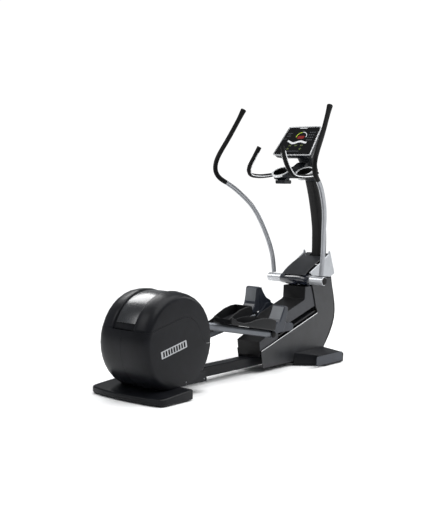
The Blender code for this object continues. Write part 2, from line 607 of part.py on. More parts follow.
def build_pedals(arm_metal, trolley_paint, footplate_plastic, toe_plastic, roller_plastic):
    lead = CRANK_RADIUS * math.cos(CRANK_ANGLE)
    for side_name, side in SIDES.items():
        lead_here = lead if side_name == "right" else -lead
        roller_x = SLOT_MIDDLE[0] + lead_here
        roller_z = slot_line(roller_x, 0.0)
        pivot_x = roller_x + TROLLEY_TO_PIVOT[0]
        pivot_z = roller_z + TROLLEY_TO_PIVOT[1]
        angle = CRANK_ANGLE if side_name == "right" else CRANK_ANGLE + math.pi
        eye_x = DRUM_X + CRANK_RADIUS * math.cos(angle)
        eye_z = DRUM_Z + CRANK_RADIUS * math.sin(angle)
        length = math.hypot(pivot_x - eye_x, pivot_z - eye_z)
        pitch = math.atan2(eye_z - pivot_z, pivot_x - eye_x)

        trolley_frame = pivot(f"trolley_frame_{side_name}", pivot_x, pivot_z)
        reach, rise = -TROLLEY_TO_PIVOT[0], -TROLLEY_TO_PIVOT[1]
        outline = [(-0.024, -0.012), (-0.014, -0.028), (0.012, -0.030), (0.100, -0.014), (0.200, -0.010),
                   (reach - 0.006, rise - 0.026), (reach + 0.022, rise - 0.018), (reach + 0.030, rise + 0.004),
                   (reach + 0.016, rise + 0.026), (reach - 0.030, rise + 0.032), (0.185, 0.054), (0.130, 0.078),
                   (0.095, 0.086), (0.066, 0.078), (0.034, 0.048), (0.000, 0.026), (-0.020, 0.016)]
        inner, outer = TROLLEY_Y, TROLLEY_Y + TROLLEY_THICKNESS
        trolley = side_prism(f"trolley_{side_name}", round_corners(outline, 0.02, 2), side, inner, outer,
                             trolley_paint, trolley_frame)
        low, high = sorted((side * 0.048, side * (inner + 0.005)))
        cut(trolley, rod(f"roller_axle_{side_name}", (reach, rise), 0.009, low, high, trolley_paint, trolley_frame),
            "UNION")
        low, high = sorted((side * (outer - 0.005), side * 0.178))
        cut(trolley, rod(f"pedal_pin_{side_name}", (0.0, 0.0), 0.010, low, high, trolley_paint, trolley_frame),
            "UNION")

        roller_frame = pivot(f"roller_frame_{side_name}", roller_x, roller_z)
        tread = [(side * 0.058, 0.0093), (side * 0.058, ROLLER_RADIUS - 0.001), (side * 0.060, ROLLER_RADIUS),
                 (side * 0.082, ROLLER_RADIUS), (side * 0.084, ROLLER_RADIUS - 0.001), (side * 0.084, 0.0093)]
        turned(f"roller_{side_name}", tread, (0.0, 0.0), roller_plastic, roller_frame, steps=16)

        arm_frame = pivot(f"pedal_frame_{side_name}", pivot_x, pivot_z, pitch)
        tube = [Vector((-length + 0.005, side * ARM_Y, 0.0)), Vector((-length + 0.075, side * ARM_Y, 0.0)),
                Vector((-0.060, side * ARM_Y, 0.0)), Vector((-0.010, side * ARM_Y, 0.0))]

        def arm_size(share):
            return (ARM_RADIUS if 0.0 < share < 1.0 else 0.016, 0.014 if share == 0.0 else ARM_RADIUS)

        arm = loft(f"pedal_arm_{side_name}", path_rings(tube, arm_size, 12, 2.6), arm_metal, arm_frame)
        low, high = sorted((side * 0.135, side * 0.165))
        cut(arm, rod(f"rear_eye_{side_name}", (-length, 0.0), EYE_RADIUS, low, high, arm_metal, arm_frame), "UNION")
        low, high = sorted((side * 0.1235, side * 0.177))
        cut(arm, rod(f"front_knuckle_{side_name}", (0.0, 0.0), 0.023, low, high, arm_metal, arm_frame), "UNION")
        cut(arm, rod(f"pin_hole_{side_name}", (0.0, 0.0), 0.0103, -0.3, 0.3, arm_metal, arm_frame))
        cut(arm, rod(f"eye_hole_{side_name}", (-length, 0.0), 0.0105, -0.3, 0.3, arm_metal, arm_frame))

        floor = ARM_RADIUS + GAP
        profile = [(-0.526, floor), (-0.080, floor), (-0.074, 0.050), (-0.080, 0.090), (-0.140, 0.097),
                   (-0.210, 0.094), (-0.290, 0.076), (-0.340, 0.058), (-0.400, 0.046), (-0.470, 0.048),
                   (-0.510, 0.064), (-0.534, 0.070), (-0.540, 0.058)]
        plate = side_prism(f"footplate_{side_name}", round_corners(profile, 0.012, 2), side, PEDAL_INNER_Y,
                           PEDAL_OUTER_Y, footplate_plastic, arm_frame, bevel=0.004)
        bed = [(-0.518, 0.030), (-0.098, 0.034), (-0.090, 0.130), (-0.600, 0.130)]
        cut(plate, side_prism(f"foot_bed_{side_name}", bed, side, PEDAL_INNER_Y + 0.010, PEDAL_OUTER_Y - 0.010,
                              footplate_plastic, arm_frame))

        toe = [(-0.070, ARM_RADIUS + GAP), (0.034, ARM_RADIUS + GAP), (0.046, 0.056), (0.054, 0.120), (0.058, 0.188),
               (0.020, 0.194), (0.002, 0.130), (-0.018, 0.084), (-0.046, 0.060), (-0.070, 0.054)]
        side_prism(f"toe_plate_{side_name}", round_corners(toe, 0.014, 2), side, 0.126, 0.226, toe_plastic,
                   arm_frame, bevel=0.004)


# ---------------------------------------------------------------- levers

def build_levers(silver, tube_metal, grip_rubber):
    for side_name, side in SIDES.items():
        tilt = -LEVER_REST if side_name == "left" else LEVER_REST
        frame = pivot(f"lever_frame_{side_name}", AXLE_X, AXLE_Z, tilt)
        bore = AXLE_RADIUS + 0.0003
        sleeve = [(side * HUB_INNER_Y, bore), (side * HUB_INNER_Y, 0.0270), (side * (HUB_INNER_Y + 0.004), HUB_RADIUS),
                  (side * (HUB_OUTER_Y - 0.004), HUB_RADIUS), (side * HUB_OUTER_Y, 0.0270), (side * HUB_OUTER_Y, bore)]
        turned(f"lever_hub_{side_name}", sleeve, (0.0, 0.0), silver, frame, steps=20)

        def placed(points):
            return [(forward, side * (HUB_OUTER_Y + outward), up) for forward, up, outward in points]

        line = smooth_path(placed([(0.007, 0.0330, -0.033), (0.003, 0.144, -0.024), (-0.020, 0.250, -0.007),
                                   (-0.053, 0.345, 0.012), (-0.090, 0.438, 0.037), (-0.141, 0.517, 0.061),
                                   (-0.215, 0.590, 0.092), (-0.270, 0.634, 0.112), (-0.325, 0.668, 0.129),
                                   (-0.375, 0.698, 0.142), (-0.404, 0.742, 0.152), (-0.400, 0.800, 0.153),
                                   (-0.364, 0.866, 0.146), (-0.305, 0.945, 0.132), (-0.230, 1.058, 0.111),
                                   (-0.169, 1.157, 0.094)]), 2)

        def grip_size(share):
            flare = max(0.0, (share - 0.97) / 0.03)
            return (GRIP_RADIUS + 0.0045 * flare, GRIP_RADIUS + 0.0045 * flare)

        tube, grip = split_rings(line, 16, lambda share: (LEVER_RADIUS, LEVER_RADIUS), grip_size)
        loft(f"lever_tube_{side_name}", tube, tube_metal, frame)
        loft(f"lever_grip_{side_name}", grip, grip_rubber, frame)


def main():
    clear_scene()
    charcoal = make_material("charcoal_moulding", (0.020, 0.021, 0.023), 0.55)
    gloss = make_material("gloss_black", (0.030, 0.031, 0.034), 0.18)
    panel_grey = make_material("satin_grey_panel", (0.062, 0.062, 0.068), 0.42)
    insert_grey = make_material("lighter_grey_panel", (0.085, 0.085, 0.095), 0.45)
    dark = make_material("dark_cover", (0.018, 0.018, 0.020), 0.45)
    silver = make_material("silver_metal", (0.62, 0.63, 0.65), 0.28, 0.9)
    boss_gloss = make_material("blue_black_gloss", (0.012, 0.013, 0.022), 0.16)
    steel = make_material("painted_steel", (0.045, 0.046, 0.050), 0.5, 0.3)
    cast_iron = make_material("cast_iron", (0.09, 0.09, 0.095), 0.6, 0.7)
    rubber = make_material("black_rubber", (0.012, 0.012, 0.012), 0.8)
    aluminium = make_material("grey_aluminium", (0.33, 0.34, 0.36), 0.34, 0.85)
    glass = make_material("black_glass", (0.008, 0.008, 0.010), 0.08)
    key_plastic = make_material("olive_key", (0.11, 0.14, 0.03), 0.4)

    build_base(charcoal, rubber, steel)
    build_drum(charcoal, gloss)
    build_drive(steel, cast_iron, rubber)
    build_tower(panel_grey, insert_grey, dark, silver, boss_gloss, steel)
    build_mast(charcoal, dark)
    build_console(dark, glass, key_plastic, silver, charcoal)
    build_handlebars(charcoal, rubber)
    build_pedals(aluminium, boss_gloss, charcoal, dark, rubber)
    build_levers(silver, aluminium, rubber)


main()
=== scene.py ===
"""Elliptical trainer: the finished pieces, their materials and the studio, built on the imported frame.

Metres, +Z up, +X towards the console end, +Y to the machine's left. Every piece keeps its place in its mesh.
"""
import json
import math

import bmesh
import bpy
from mathutils import Matrix, Vector


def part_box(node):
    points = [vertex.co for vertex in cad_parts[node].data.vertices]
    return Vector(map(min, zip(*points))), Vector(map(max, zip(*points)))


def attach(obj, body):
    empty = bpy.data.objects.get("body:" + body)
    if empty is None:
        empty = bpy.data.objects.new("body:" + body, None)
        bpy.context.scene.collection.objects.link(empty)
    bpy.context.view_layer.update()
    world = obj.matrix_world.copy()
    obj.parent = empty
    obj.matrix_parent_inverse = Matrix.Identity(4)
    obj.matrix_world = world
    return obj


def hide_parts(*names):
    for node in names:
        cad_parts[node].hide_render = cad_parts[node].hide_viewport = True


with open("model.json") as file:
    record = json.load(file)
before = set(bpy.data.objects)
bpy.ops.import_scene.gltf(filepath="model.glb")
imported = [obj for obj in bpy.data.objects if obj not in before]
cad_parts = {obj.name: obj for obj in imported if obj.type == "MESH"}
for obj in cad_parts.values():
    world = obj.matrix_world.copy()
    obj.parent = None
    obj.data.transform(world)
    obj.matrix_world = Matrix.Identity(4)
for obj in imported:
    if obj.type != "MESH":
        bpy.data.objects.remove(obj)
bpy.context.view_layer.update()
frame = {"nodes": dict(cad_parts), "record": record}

bl_info = {
    "name": "Elliptical Trainer",
    "version": (1, 0, 0),
    "blender": (4, 5, 0),
    "location": "3D View > Sidebar > Trainer",
    "description": "Builds the finished pieces of an elliptical trainer",
    "category": "Object",
}

SIDES = {"left": 1.0, "right": -1.0}
FACE_TILT = math.radians(-49.6)
CREASE_ANGLE = math.radians(45.0)


def middle(node):
    low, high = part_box(node)
    return (low + high) / 2.0


# ------------------------------------------------------------------------------------------------ settings

class TrainerSizes(bpy.types.PropertyGroup):
    """Sizes that a user may change."""
    edge_radius: bpy.props.FloatProperty(
        name="Edge radius", description="Rounding of moulded edges", default=0.0022, min=0.0, unit="LENGTH")
    trim_width: bpy.props.FloatProperty(
        name="Trim width", description="Width of the bright strip along the slot", default=0.0044, min=0.0005,
        unit="LENGTH")
    screw_radius: bpy.props.FloatProperty(
        name="Screw radius", description="Radius of the panel screws' heads", default=0.0046, min=0.001,
        unit="LENGTH")
    tread_pitch: bpy.props.FloatProperty(
        name="Tread pitch", description="Distance between the ribs of a footplate", default=0.0165, min=0.004,
        unit="LENGTH")
    floor_size: bpy.props.FloatProperty(
        name="Floor size", description="Side of the studio floor", default=60.0, min=5.0, unit="LENGTH")


class TrainerColours(bpy.types.PropertyGroup):
    """Colours that a user may change, as sRGB hex."""
    charcoal: bpy.props.StringProperty(
        name="Charcoal", description="Moulded covers, base plate and front foot", default="101114")
    panel: bpy.props.StringProperty(
        name="Panel grey", description="Satin side panels of the tower", default="242527")
    silver: bpy.props.StringProperty(
        name="Silver", description="Lacquer on the lever hubs", default="BCBEC2")
    metal: bpy.props.StringProperty(
        name="Metal", description="Anodised lever tubes", default="8F9195")
    indicator: bpy.props.StringProperty(
        name="Indicator", description="Green end of the dial on the console", default="A8C62C")


# ------------------------------------------------------------------------------------------------ materials

def linear(code):
    """An sRGB hex value as a linear colour."""
    parts = [int(code[index:index + 2], 16) / 255.0 for index in (0, 2, 4)]
    return [part / 12.92 if part <= 0.04045 else ((part + 0.055) / 1.055) ** 2.4 for part in parts] + [1.0]


def add(tree, kind, settings=None, values=None, links=None):
    """Add a node with its settings, its sockets' values and its incoming links."""
    node = tree.nodes.new(f"ShaderNode{kind}")
    for name, value in (settings or {}).items():
        setattr(node, name, value)
    for name, value in (values or {}).items():
        node.inputs[name].default_value = value
    for name, socket in (links or {}).items():
        tree.links.new(socket, node.inputs[name])
    return node


def per_metre(millimetres):
    """The scale that gives a pattern of this size on Object coordinates."""
    return 1000.0 / millimetres


def surface(name, colours, roughness, grain, depth, mottle=90.0, pattern="Noise", **sockets):
    """A finish from a mottled colour, a mottled roughness and a grain; sizes in mm, plain values set on the shader."""
    made = bpy.data.materials.get(name)
    if made:
        return made
    made = bpy.data.materials.new(name)
    made.use_nodes = True
    tree = made.node_tree
    shader = tree.nodes["Principled BSDF"]
    for socket, value in sockets.items():
        shader.inputs[socket.replace("_", " ")].default_value = value
    place = add(tree, "TexCoord").outputs["Object"]
    cloud = add(tree, "TexNoise", {}, {"Scale": per_metre(mottle), "Detail": 4.0, "Roughness": 0.55},
                {"Vector": place}).outputs["Fac"]
    tint = add(tree, "ValToRGB", {}, {}, {"Fac": cloud})
    tint.color_ramp.elements[0].position = 0.36
    tint.color_ramp.elements[1].position = 0.66
    tint.color_ramp.elements[0].color = linear(colours[0])
    tint.color_ramp.elements[1].color = linear(colours[1])
    if pattern == "Voronoi":
        fine = add(tree, "TexVoronoi", {"feature": "SMOOTH_F1"}, {"Scale": per_metre(grain)},
                   {"Vector": place}).outputs["Distance"]
    else:
        fine = add(tree, "TexNoise", {}, {"Scale": per_metre(grain), "Detail": 3.0, "Roughness": 0.6},
                   {"Vector": place}).outputs["Fac"]
    both = add(tree, "Math", {"operation": "MULTIPLY_ADD"}, {1: 0.35}, {0: fine, 2: cloud}).outputs["Value"]
    rough = add(tree, "MapRange", {}, {"From Min": 0.35, "From Max": 1.0, "To Min": roughness[0],
                                       "To Max": roughness[1]}, {"Value": both}).outputs["Result"]
    bump = add(tree, "Bump", {}, {"Strength": 0.5, "Distance": depth / 1000.0}, {"Height": fine})
    tree.links.new(tint.outputs["Color"], shader.inputs["Base Color"])
    tree.links.new(rough, shader.inputs["Roughness"])
    tree.links.new(bump.outputs["Normal"], shader.inputs["Normal"])
    return made


def finish_for(kind):
    """The material of one real finish."""
    colours = bpy.context.scene.trainer_colours
    if kind == "charcoal":
        # Spark-textured ABS moulding: a broad dull sheen and faint cloudiness. The grain is drawn at 2.4 mm,
        # coarser than the real 0.5 mm, so that it shows.
        return surface("abs_moulded_charcoal", (colours.charcoal, "15161A"), (0.30, 0.42), 2.4, 0.10,
                       Specular_IOR_Level=0.15, IOR=1.5)
    if kind == "gloss":
        # Polished ABS: a shade lighter than the cap, with a tight highlight and very little grain.
        return surface("abs_polished_channel", ("1C1D20", "25272B"), (0.20, 0.32), 5.0, 0.02,
                       Specular_IOR_Level=0.6, Coat_Weight=0.3, Coat_Roughness=0.2)
    if kind == "panel":
        # Satin-lacquered ABS panel: an even grey with a silky highlight and a slight orange peel.
        return surface("lacquered_panel_satin", (colours.panel, "2C2D30"), (0.26, 0.36), 4.0, 0.04,
                       Specular_IOR_Level=0.24, Coat_Weight=0.06, Coat_Roughness=0.3)
    if kind == "insert":
        # Satin-lacquered ABS, one shade lighter than the side panel.
        return surface("lacquered_insert_satin", ("2C2D32", "34363A"), (0.32, 0.44), 4.0, 0.04,
                       Specular_IOR_Level=0.28)
    if kind == "cover":
        # Moulded ABS cover, leather-grained: dull black with a soft sheen.
        return surface("abs_grained_cover", ("101011", "171718"), (0.36, 0.5), 2.8, 0.15, pattern="Voronoi",
                       Specular_IOR_Level=0.16)
    if kind == "hood":
        # Lacquered ABS hood: graphite with a clear sheen.
        return surface("lacquered_hood_graphite", ("222326", "2B2C2F"), (0.26, 0.38), 3.4, 0.04,
                       Specular_IOR_Level=0.35, Coat_Weight=0.1, Coat_Roughness=0.25)
    if kind == "mast":
        # Powder-coated steel: near black, fine orange peel.
        return surface("powder_coat_mast", ("0F0F10", "151516"), (0.36, 0.48), 2.2, 0.08, Specular_IOR_Level=0.18)
    if kind == "silver":
        # Silver metallic lacquer: bright, softly mirror-like, with flakes finer than the eye sees.
        return surface("silver_metallic_lacquer", (colours.silver, "C8CACD"), (0.28, 0.38), 1.6, 0.02,
                       Metallic=0.55, Coat_Weight=0.4, Coat_Roughness=0.12)
    if kind == "badge":
        # Satin foil plate on the drum's side: mid silver, even.
        return surface("satin_foil_badge", ("9A9C9F", "ABADB0"), (0.3, 0.4), 1.6, 0.01, Specular_IOR_Level=0.5)
    if kind == "wing":
        # The silver lacquer of the hubs, drawn darker on the wings as painted shade: mid grey, satin.
        return surface("silver_lacquer_wing_painted_shade", ("A2A5A9", "AFB2B6"), (0.30, 0.40), 1.6, 0.01, Metallic=0.4,
                       Coat_Weight=0.3, Coat_Roughness=0.2)
    if kind == "trim":
        # Silver on the thin trims, drawn pale and non-metallic: the pale colour is a painted highlight for the
        # silver's reflection, with a soft real highlight on top.
        return surface("silver_trim_painted_highlight", ("DCDEE0", "E8E9EA"), (0.24, 0.34), 1.6, 0.0, Specular_IOR_Level=0.8)
    if kind == "boss":
        # Gloss-lacquered steel tube: blue-black and glassy.
        return surface("gloss_lacquer_boss", ("10131C", "171B28"), (0.16, 0.26), 4.0, 0.02, Specular_IOR_Level=0.7,
                       Coat_Weight=0.6, Coat_Roughness=0.08)
    if kind == "steel":
        # Enamelled mild steel: dark grey, slightly uneven.
        return surface("enamelled_steel", ("17181A", "1F2023"), (0.32, 0.46), 2.6, 0.06, Specular_IOR_Level=0.26)
    if kind == "iron":
        # Cast iron, machined rims: grey, rough, with a coarse sand-cast skin.
        return surface("cast_iron_skin", ("3A3B3D", "4B4C4E"), (0.42, 0.62), 1.8, 0.25, Metallic=0.85)
    if kind == "rubber":
        # EPDM rubber foam on the grips: matt black with fine open cells.
        return surface("epdm_rubber_grip", ("050506", "09090A"), (0.55, 0.74), 1.6, 0.08, pattern="Voronoi",
                       Specular_IOR_Level=0.14)
    if kind == "aluminium":
        # Bead-blasted, clear-anodised aluminium tube: satin grey, long soft highlights.
        return surface("anodised_aluminium", (colours.metal, "999B9F"), (0.30, 0.38), 2.0, 0.004,
                       Metallic=1.0)
    if kind == "arm":
        # Silver-grey metallic enamel on the steel pedal arms: darker and softer than the anodised levers.
        return surface("metallic_enamel_arm", ("5C5F64", "686B70"), (0.32, 0.42), 3.0, 0.01, Metallic=0.85)
    if kind == "trolley":
        # Blue-grey enamel over cast aluminium: smooth, satin.
        return surface("enamelled_casting_blue_grey", ("1F232B", "272C35"), (0.28, 0.4), 3.0, 0.05,
                       Specular_IOR_Level=0.35)
    if kind == "pedal":
        # Glass-filled nylon: black, dry and slightly pebbled.
        return surface("glass_filled_nylon", ("0C0C0E", "131416"), (0.38, 0.54), 2.0, 0.14, pattern="Voronoi",
                       Specular_IOR_Level=0.2)
    if kind == "tread":
        # Thermoplastic rubber tread over the footplate: dark grey and matt.
        return surface("tpe_tread", ("18191B", "212225"), (0.5, 0.66), 2.0, 0.12, Specular_IOR_Level=0.3)
    if kind == "toe_pad":
        # Moulded polypropylene pad, mid grey with a low sheen.
        return surface("polypropylene_pad", ("5A5D61", "66696D"), (0.36, 0.5), 2.4, 0.1, Specular_IOR_Level=0.5)
    if kind == "glass":
        # Screen-printed acrylic sheet: black and glassy, with a trace of fingerprints.
        return surface("acrylic_console_face", ("050506", "08080A"), (0.12, 0.2), 30.0, 0.0, mottle=45.0,
                       Specular_IOR_Level=0.3)
    if kind == "housing":
        # Moulded ABS back of the console: blue-black, low sheen.
        return surface("abs_console_back", ("0C0E12", "13161C"), (0.32, 0.46), 2.4, 0.08, Specular_IOR_Level=0.2)
    if kind == "key":
        # Translucent silicone key: olive, satin.
        return surface("silicone_key_olive", ("3F4824", "4E5A2E"), (0.36, 0.5), 2.0, 0.03, Subsurface_Weight=0.1)
    if kind == "zinc":
        # Zinc plating on screws, dulled with age: mid grey, worn in patches.
        return surface("zinc_plated_screw", ("7C7F83", "8E9195"), (0.26, 0.42), 1.0, 0.01, mottle=4.0, Metallic=1.0)
    if kind == "seal":
        # EPDM seal in the gaps between mouldings: dead black.
        return surface("epdm_gap_seal", ("080809", "0D0D0E"), (0.6, 0.75), 2.0, 0.05, Specular_IOR_Level=0.2)
    if kind == "print_white":
        # White screen-printing ink on the acrylic: flat, very slightly uneven.
        return surface("screen_print_white", ("D9DBDC", "E8E9EA"), (0.35, 0.5), 1.2, 0.01)
    if kind == "print_grey":
        # Grey screen-printing ink: flat and dim.
        return surface("screen_print_grey", ("3C3F43", "484B50"), (0.4, 0.55), 1.2, 0.01)
    if kind == "print_green":
        # Yellow-green screen-printing ink.
        return surface("screen_print_green", (colours.indicator, "C4D84A"), (0.35, 0.5), 8.0, 0.01, mottle=14.0)
    if kind == "print_red":
        # Red segmented display behind the acrylic: deep red, faintly lit.
        return surface("led_window_red", ("6A181A", "7E2422"), (0.15, 0.25), 1.5, 0.01,
                       Emission_Color=linear("A82822"), Emission_Strength=0.12)
    raise RuntimeError(f"no finish is named {kind}")


# ------------------------------------------------------------------------------------------------ making pieces

def keep_piece(name, mesh_edit, kind, body, stands_for=(), sharp=38.0, bevel=0.0, smooth=0):
    """Close the mesh edit into a piece that rides on a body."""
    mesh = bpy.data.meshes.new(name)
    mesh_edit.to_mesh(mesh)
    mesh_edit.free()
    mesh.materials.clear()
    mesh.materials.append(finish_for(kind))
    mesh.shade_smooth()
    mesh.set_sharp_from_angle(angle=math.radians(sharp))
    piece = bpy.data.objects.new(name, mesh)
    bpy.context.scene.collection.objects.link(piece)
    if bevel:
        rounding = piece.modifiers.new("edge rounding", "BEVEL")
        rounding.width = bevel
        rounding.segments = 2
        rounding.limit_method = "ANGLE"
        rounding.angle_limit = math.radians(32.0)
        rounding.harden_normals = True
    if smooth:
        curving = piece.modifiers.new("curving", "SUBSURF")
        curving.levels = smooth
        curving.render_levels = smooth
    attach(piece, body)
    if stands_for:
        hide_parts(*stands_for)
    return piece


def body_holding(node):
    for body, members in frame["record"]["behaviour"]["bodies"].items():
        if node in members:
            return body
    raise RuntimeError(f"no body holds {node}")


def refined(node, kind, name, bevel=0.0, smooth=0, sharp=38.0):
    """A welded copy of a CAD node with rounded edges or subdivided curves, which stands for it."""
    edit = bmesh.new()
    edit.from_mesh(frame["nodes"][node].data)
    bmesh.ops.remove_doubles(edit, verts=edit.verts, dist=0.00003)
    bmesh.ops.dissolve_limit(edit, angle_limit=math.radians(0.6), verts=edit.verts, edges=edit.edges)
    bmesh.ops.recalc_face_normals(edit, faces=edit.faces)
    if smooth:
        weight = edit.edges.layers.float.new("crease_edge")
        for edge in edit.edges:
            if len(edge.link_faces) == 2 and edge.calc_face_angle() > CREASE_ANGLE:
                edge[weight] = 0.9
    return keep_piece(name, edit, kind, body_holding(node), (node,), sharp, bevel, smooth)


def extruded(outline, low, high, matrix=None):
    """A mesh edit of an (x, y) outline drawn up from low to high, then placed."""
    edit = bmesh.new()
    corners = [edit.verts.new((x, y, low)) for x, y in outline]
    face = edit.faces.new(corners)
    grown = bmesh.ops.extrude_face_region(edit, geom=[face])["geom"]
    lifted = [item for item in grown if isinstance(item, bmesh.types.BMVert)]
    bmesh.ops.translate(edit, verts=lifted, vec=(0.0, 0.0, high - low))
    bmesh.ops.recalc_face_normals(edit, faces=edit.faces)
    if matrix:
        bmesh.ops.transform(edit, matrix=matrix, verts=edit.verts)
    return edit


def spun(profile, centre, axis="Y", steps=64):
    """A mesh edit of a closed (along, radius) profile turned fully about an axis through the centre."""
    edit = bmesh.new()
    spin_axis = {"Y": Vector((0.0, 1.0, 0.0)), "Z": Vector((0.0, 0.0, 1.0))}[axis]
    corners = [edit.verts.new(spin_axis * along + Vector((radius, 0.0, 0.0))) for along, radius in profile]
    edges = [edit.edges.new((corners[index - 1], corners[index])) for index in range(len(corners))]
    bmesh.ops.spin(edit, geom=edges, cent=(0.0, 0.0, 0.0), axis=spin_axis, angle=math.tau, steps=steps,
                   use_merge=True)
    bmesh.ops.remove_doubles(edit, verts=edit.verts, dist=0.00002)
    bmesh.ops.recalc_face_normals(edit, faces=edit.faces)
    bmesh.ops.translate(edit, verts=edit.verts, vec=centre)
    return edit


def domed(centre, direction, radius, height):
    """A mesh edit of a domed screw head with a round recess, standing on the surface along the direction."""
    edit = bmesh.new()
    bmesh.ops.create_cone(edit, cap_ends=True, segments=20, radius1=radius, radius2=radius * 0.78, depth=height)
    top = [face for face in edit.faces if face.normal.z > 0.9]
    bmesh.ops.inset_region(edit, faces=top, thickness=radius * 0.34, depth=height * 0.25)
    bmesh.ops.inset_region(edit, faces=top, thickness=radius * 0.12, depth=-height * 0.5)
    turn = Vector((0.0, 0.0, 1.0)).rotation_difference(Vector(direction)).to_matrix().to_4x4()
    bmesh.ops.transform(edit, matrix=Matrix.Translation(centre) @ turn, verts=edit.verts)
    return edit


def join_edits(edits):
    """One mesh edit from several."""
    whole = bmesh.new()
    for edit in edits:
        step = bpy.data.meshes.new("step")
        edit.to_mesh(step)
        edit.free()
        whole.from_mesh(step)
        bpy.data.meshes.remove(step)
    return whole


def rounded_box(half_x, half_y, radius, steps=5):
    """(x, y) outline of a rectangle with round corners."""
    outline = []
    for quarter, (sx, sy) in enumerate(((1, 1), (-1, 1), (-1, -1), (1, -1))):
        for step in range(steps + 1):
            angle = math.pi / 2.0 * (quarter + step / steps)
            outline.append((sx * (half_x - radius) + radius * math.cos(angle),
                            sy * (half_y - radius) + radius * math.sin(angle)))
    return outline


def smooth_path(points, steps=8):
    """Points on a smooth curve through the guide points."""
    guide = [Vector(point) for point in points]
    guide = [2.0 * guide[0] - guide[1]] + guide + [2.0 * guide[-1] - guide[-2]]
    path = []
    for index in range(1, len(guide) - 2):
        a, b, c, d = guide[index - 1:index + 3]
        for step in range(steps):
            t = step / steps
            path.append(0.5 * (2.0 * b + (c - a) * t + (2.0 * a - 5.0 * b + 4.0 * c - d) * t * t
                               + (3.0 * b - a - 3.0 * c + d) * t ** 3))
    path.append(guide[-2])
    return path


def swept(path, radius, sides=20):
    """A mesh edit of a round bar: a circle drawn along the path, and its ends closed."""
    edit = bmesh.new()
    loops = []
    for index, here in enumerate(path):
        along = (path[min(index + 1, len(path) - 1)] - path[max(index - 1, 0)]).normalized()
        turn = Vector((0.0, 0.0, 1.0)).rotation_difference(along).to_matrix().to_4x4()
        ring = bmesh.ops.create_circle(edit, segments=sides, radius=radius, matrix=Matrix.Translation(here) @ turn)
        corners = ring["verts"]
        loops.append(list({edge for corner in corners for edge in corner.link_edges}))
    for first, second in zip(loops, loops[1:]):
        bmesh.ops.bridge_loops(edit, edges=first + second)
    bmesh.ops.holes_fill(edit, edges=loops[0] + loops[-1], sides=sides)
    bmesh.ops.recalc_face_normals(edit, faces=edit.faces)
    return edit


# ------------------------------------------------------------------------------------------------ base

class TRAINER_OT_base(bpy.types.Operator):
    """Build the rear plate, the front foot, the beam and the levelling pads"""
    bl_idname = "trainer.base"
    bl_label = "Base"

    def execute(self, context):
        sizes = context.scene.trainer_sizes
        refined("rear_base_plate", "charcoal", "rear_plate_moulding", bevel=sizes.edge_radius)
        refined("front_cross_foot", "charcoal", "front_foot_moulding", bevel=sizes.edge_radius)
        refined("main_beam", "charcoal", "beam_section", bevel=0.0015)
        low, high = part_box("front_cross_foot")
        for side_name, side in SIDES.items():
            for end in ("rear", "front"):
                spot = middle(f"{end}_pad_{side_name}")
                bottom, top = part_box(f"{end}_pad_{side_name}")
                profile = [(bottom.z, 0.0), (bottom.z, 0.0215), (bottom.z + 0.0012, 0.025), (top.z - 0.0012, 0.026),
                           (top.z, 0.0225), (top.z, 0.0)]
                keep_piece(f"{end}_pad_{side_name}_turned", spun(profile, (spot.x, spot.y, 0.0), "Z", 40), "rubber",
                           "frame", (f"{end}_pad_{side_name}",))
            # end cap of the front foot, a thin lighter cover over each end
            wide = (high.x - low.x) / 2.0 - 0.026
            cap = extruded(rounded_box(wide, (high.z - low.z) / 2.0 - 0.010, 0.012), 0.0, 0.0030,
                           Matrix.Translation((middle("front_cross_foot").x, side * (high.y - 0.0006),
                                               middle("front_cross_foot").z))
                           @ Matrix.Rotation(-side * math.pi / 2.0, 4, "X"))
            keep_piece(f"foot_end_cap_{side_name}", cap, "trolley", "frame", bevel=0.0012)
        return {"FINISHED"}


# ------------------------------------------------------------------------------------------------ drum

class TRAINER_OT_drum(bpy.types.Operator):
    """Build the drum's cap, its lower shells and the panel in its channel"""
    bl_idname = "trainer.drum"
    bl_label = "Drum"

    def execute(self, context):
        refined("drum_upper_cap", "charcoal", "drum_cap_moulding", bevel=0.0012, sharp=30.0)
        refined("drum_channel_panel", "gloss", "channel_panel_moulding", bevel=0.002, sharp=30.0)
        for side_name, side in SIDES.items():
            refined(f"drum_lower_{side_name}", "charcoal", f"drum_shell_{side_name}", bevel=0.0012, sharp=30.0)
            # plain foil plate with dark slats, slanted up towards the tower
            low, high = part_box(f"drum_lower_{side_name}")
            outer = high.y if side > 0 else -low.y
            turn = (Matrix.Translation((-0.786, 0.0, 0.288)) @ Matrix.Rotation(math.pi / 2.0, 4, "X")
                    @ Matrix.Rotation(math.radians(12.0), 4, "Z") @ Matrix.Scale(-side, 4, (0.0, 0.0, 1.0)))
            plate = extruded(rounded_box(0.1080, 0.0215, 0.004), outer - 0.0004, outer + 0.0014, turn)
            bmesh.ops.recalc_face_normals(plate, faces=plate.faces)
            keep_piece(f"side_badge_{side_name}", plate, "badge", "frame", bevel=0.0005)
            slat_pitch = 0.022
            slats = join_edits([extruded(moved(rounded_box(0.0065, 0.0150, 0.001), slat_pitch * count, 0.0),
                                         outer + 0.0010, outer + 0.0020, turn) for count in range(-4, 5)])
            bmesh.ops.recalc_face_normals(slats, faces=slats.faces)
            keep_piece(f"side_badge_slats_{side_name}", slats, "seal", "frame")
        return {"FINISHED"}


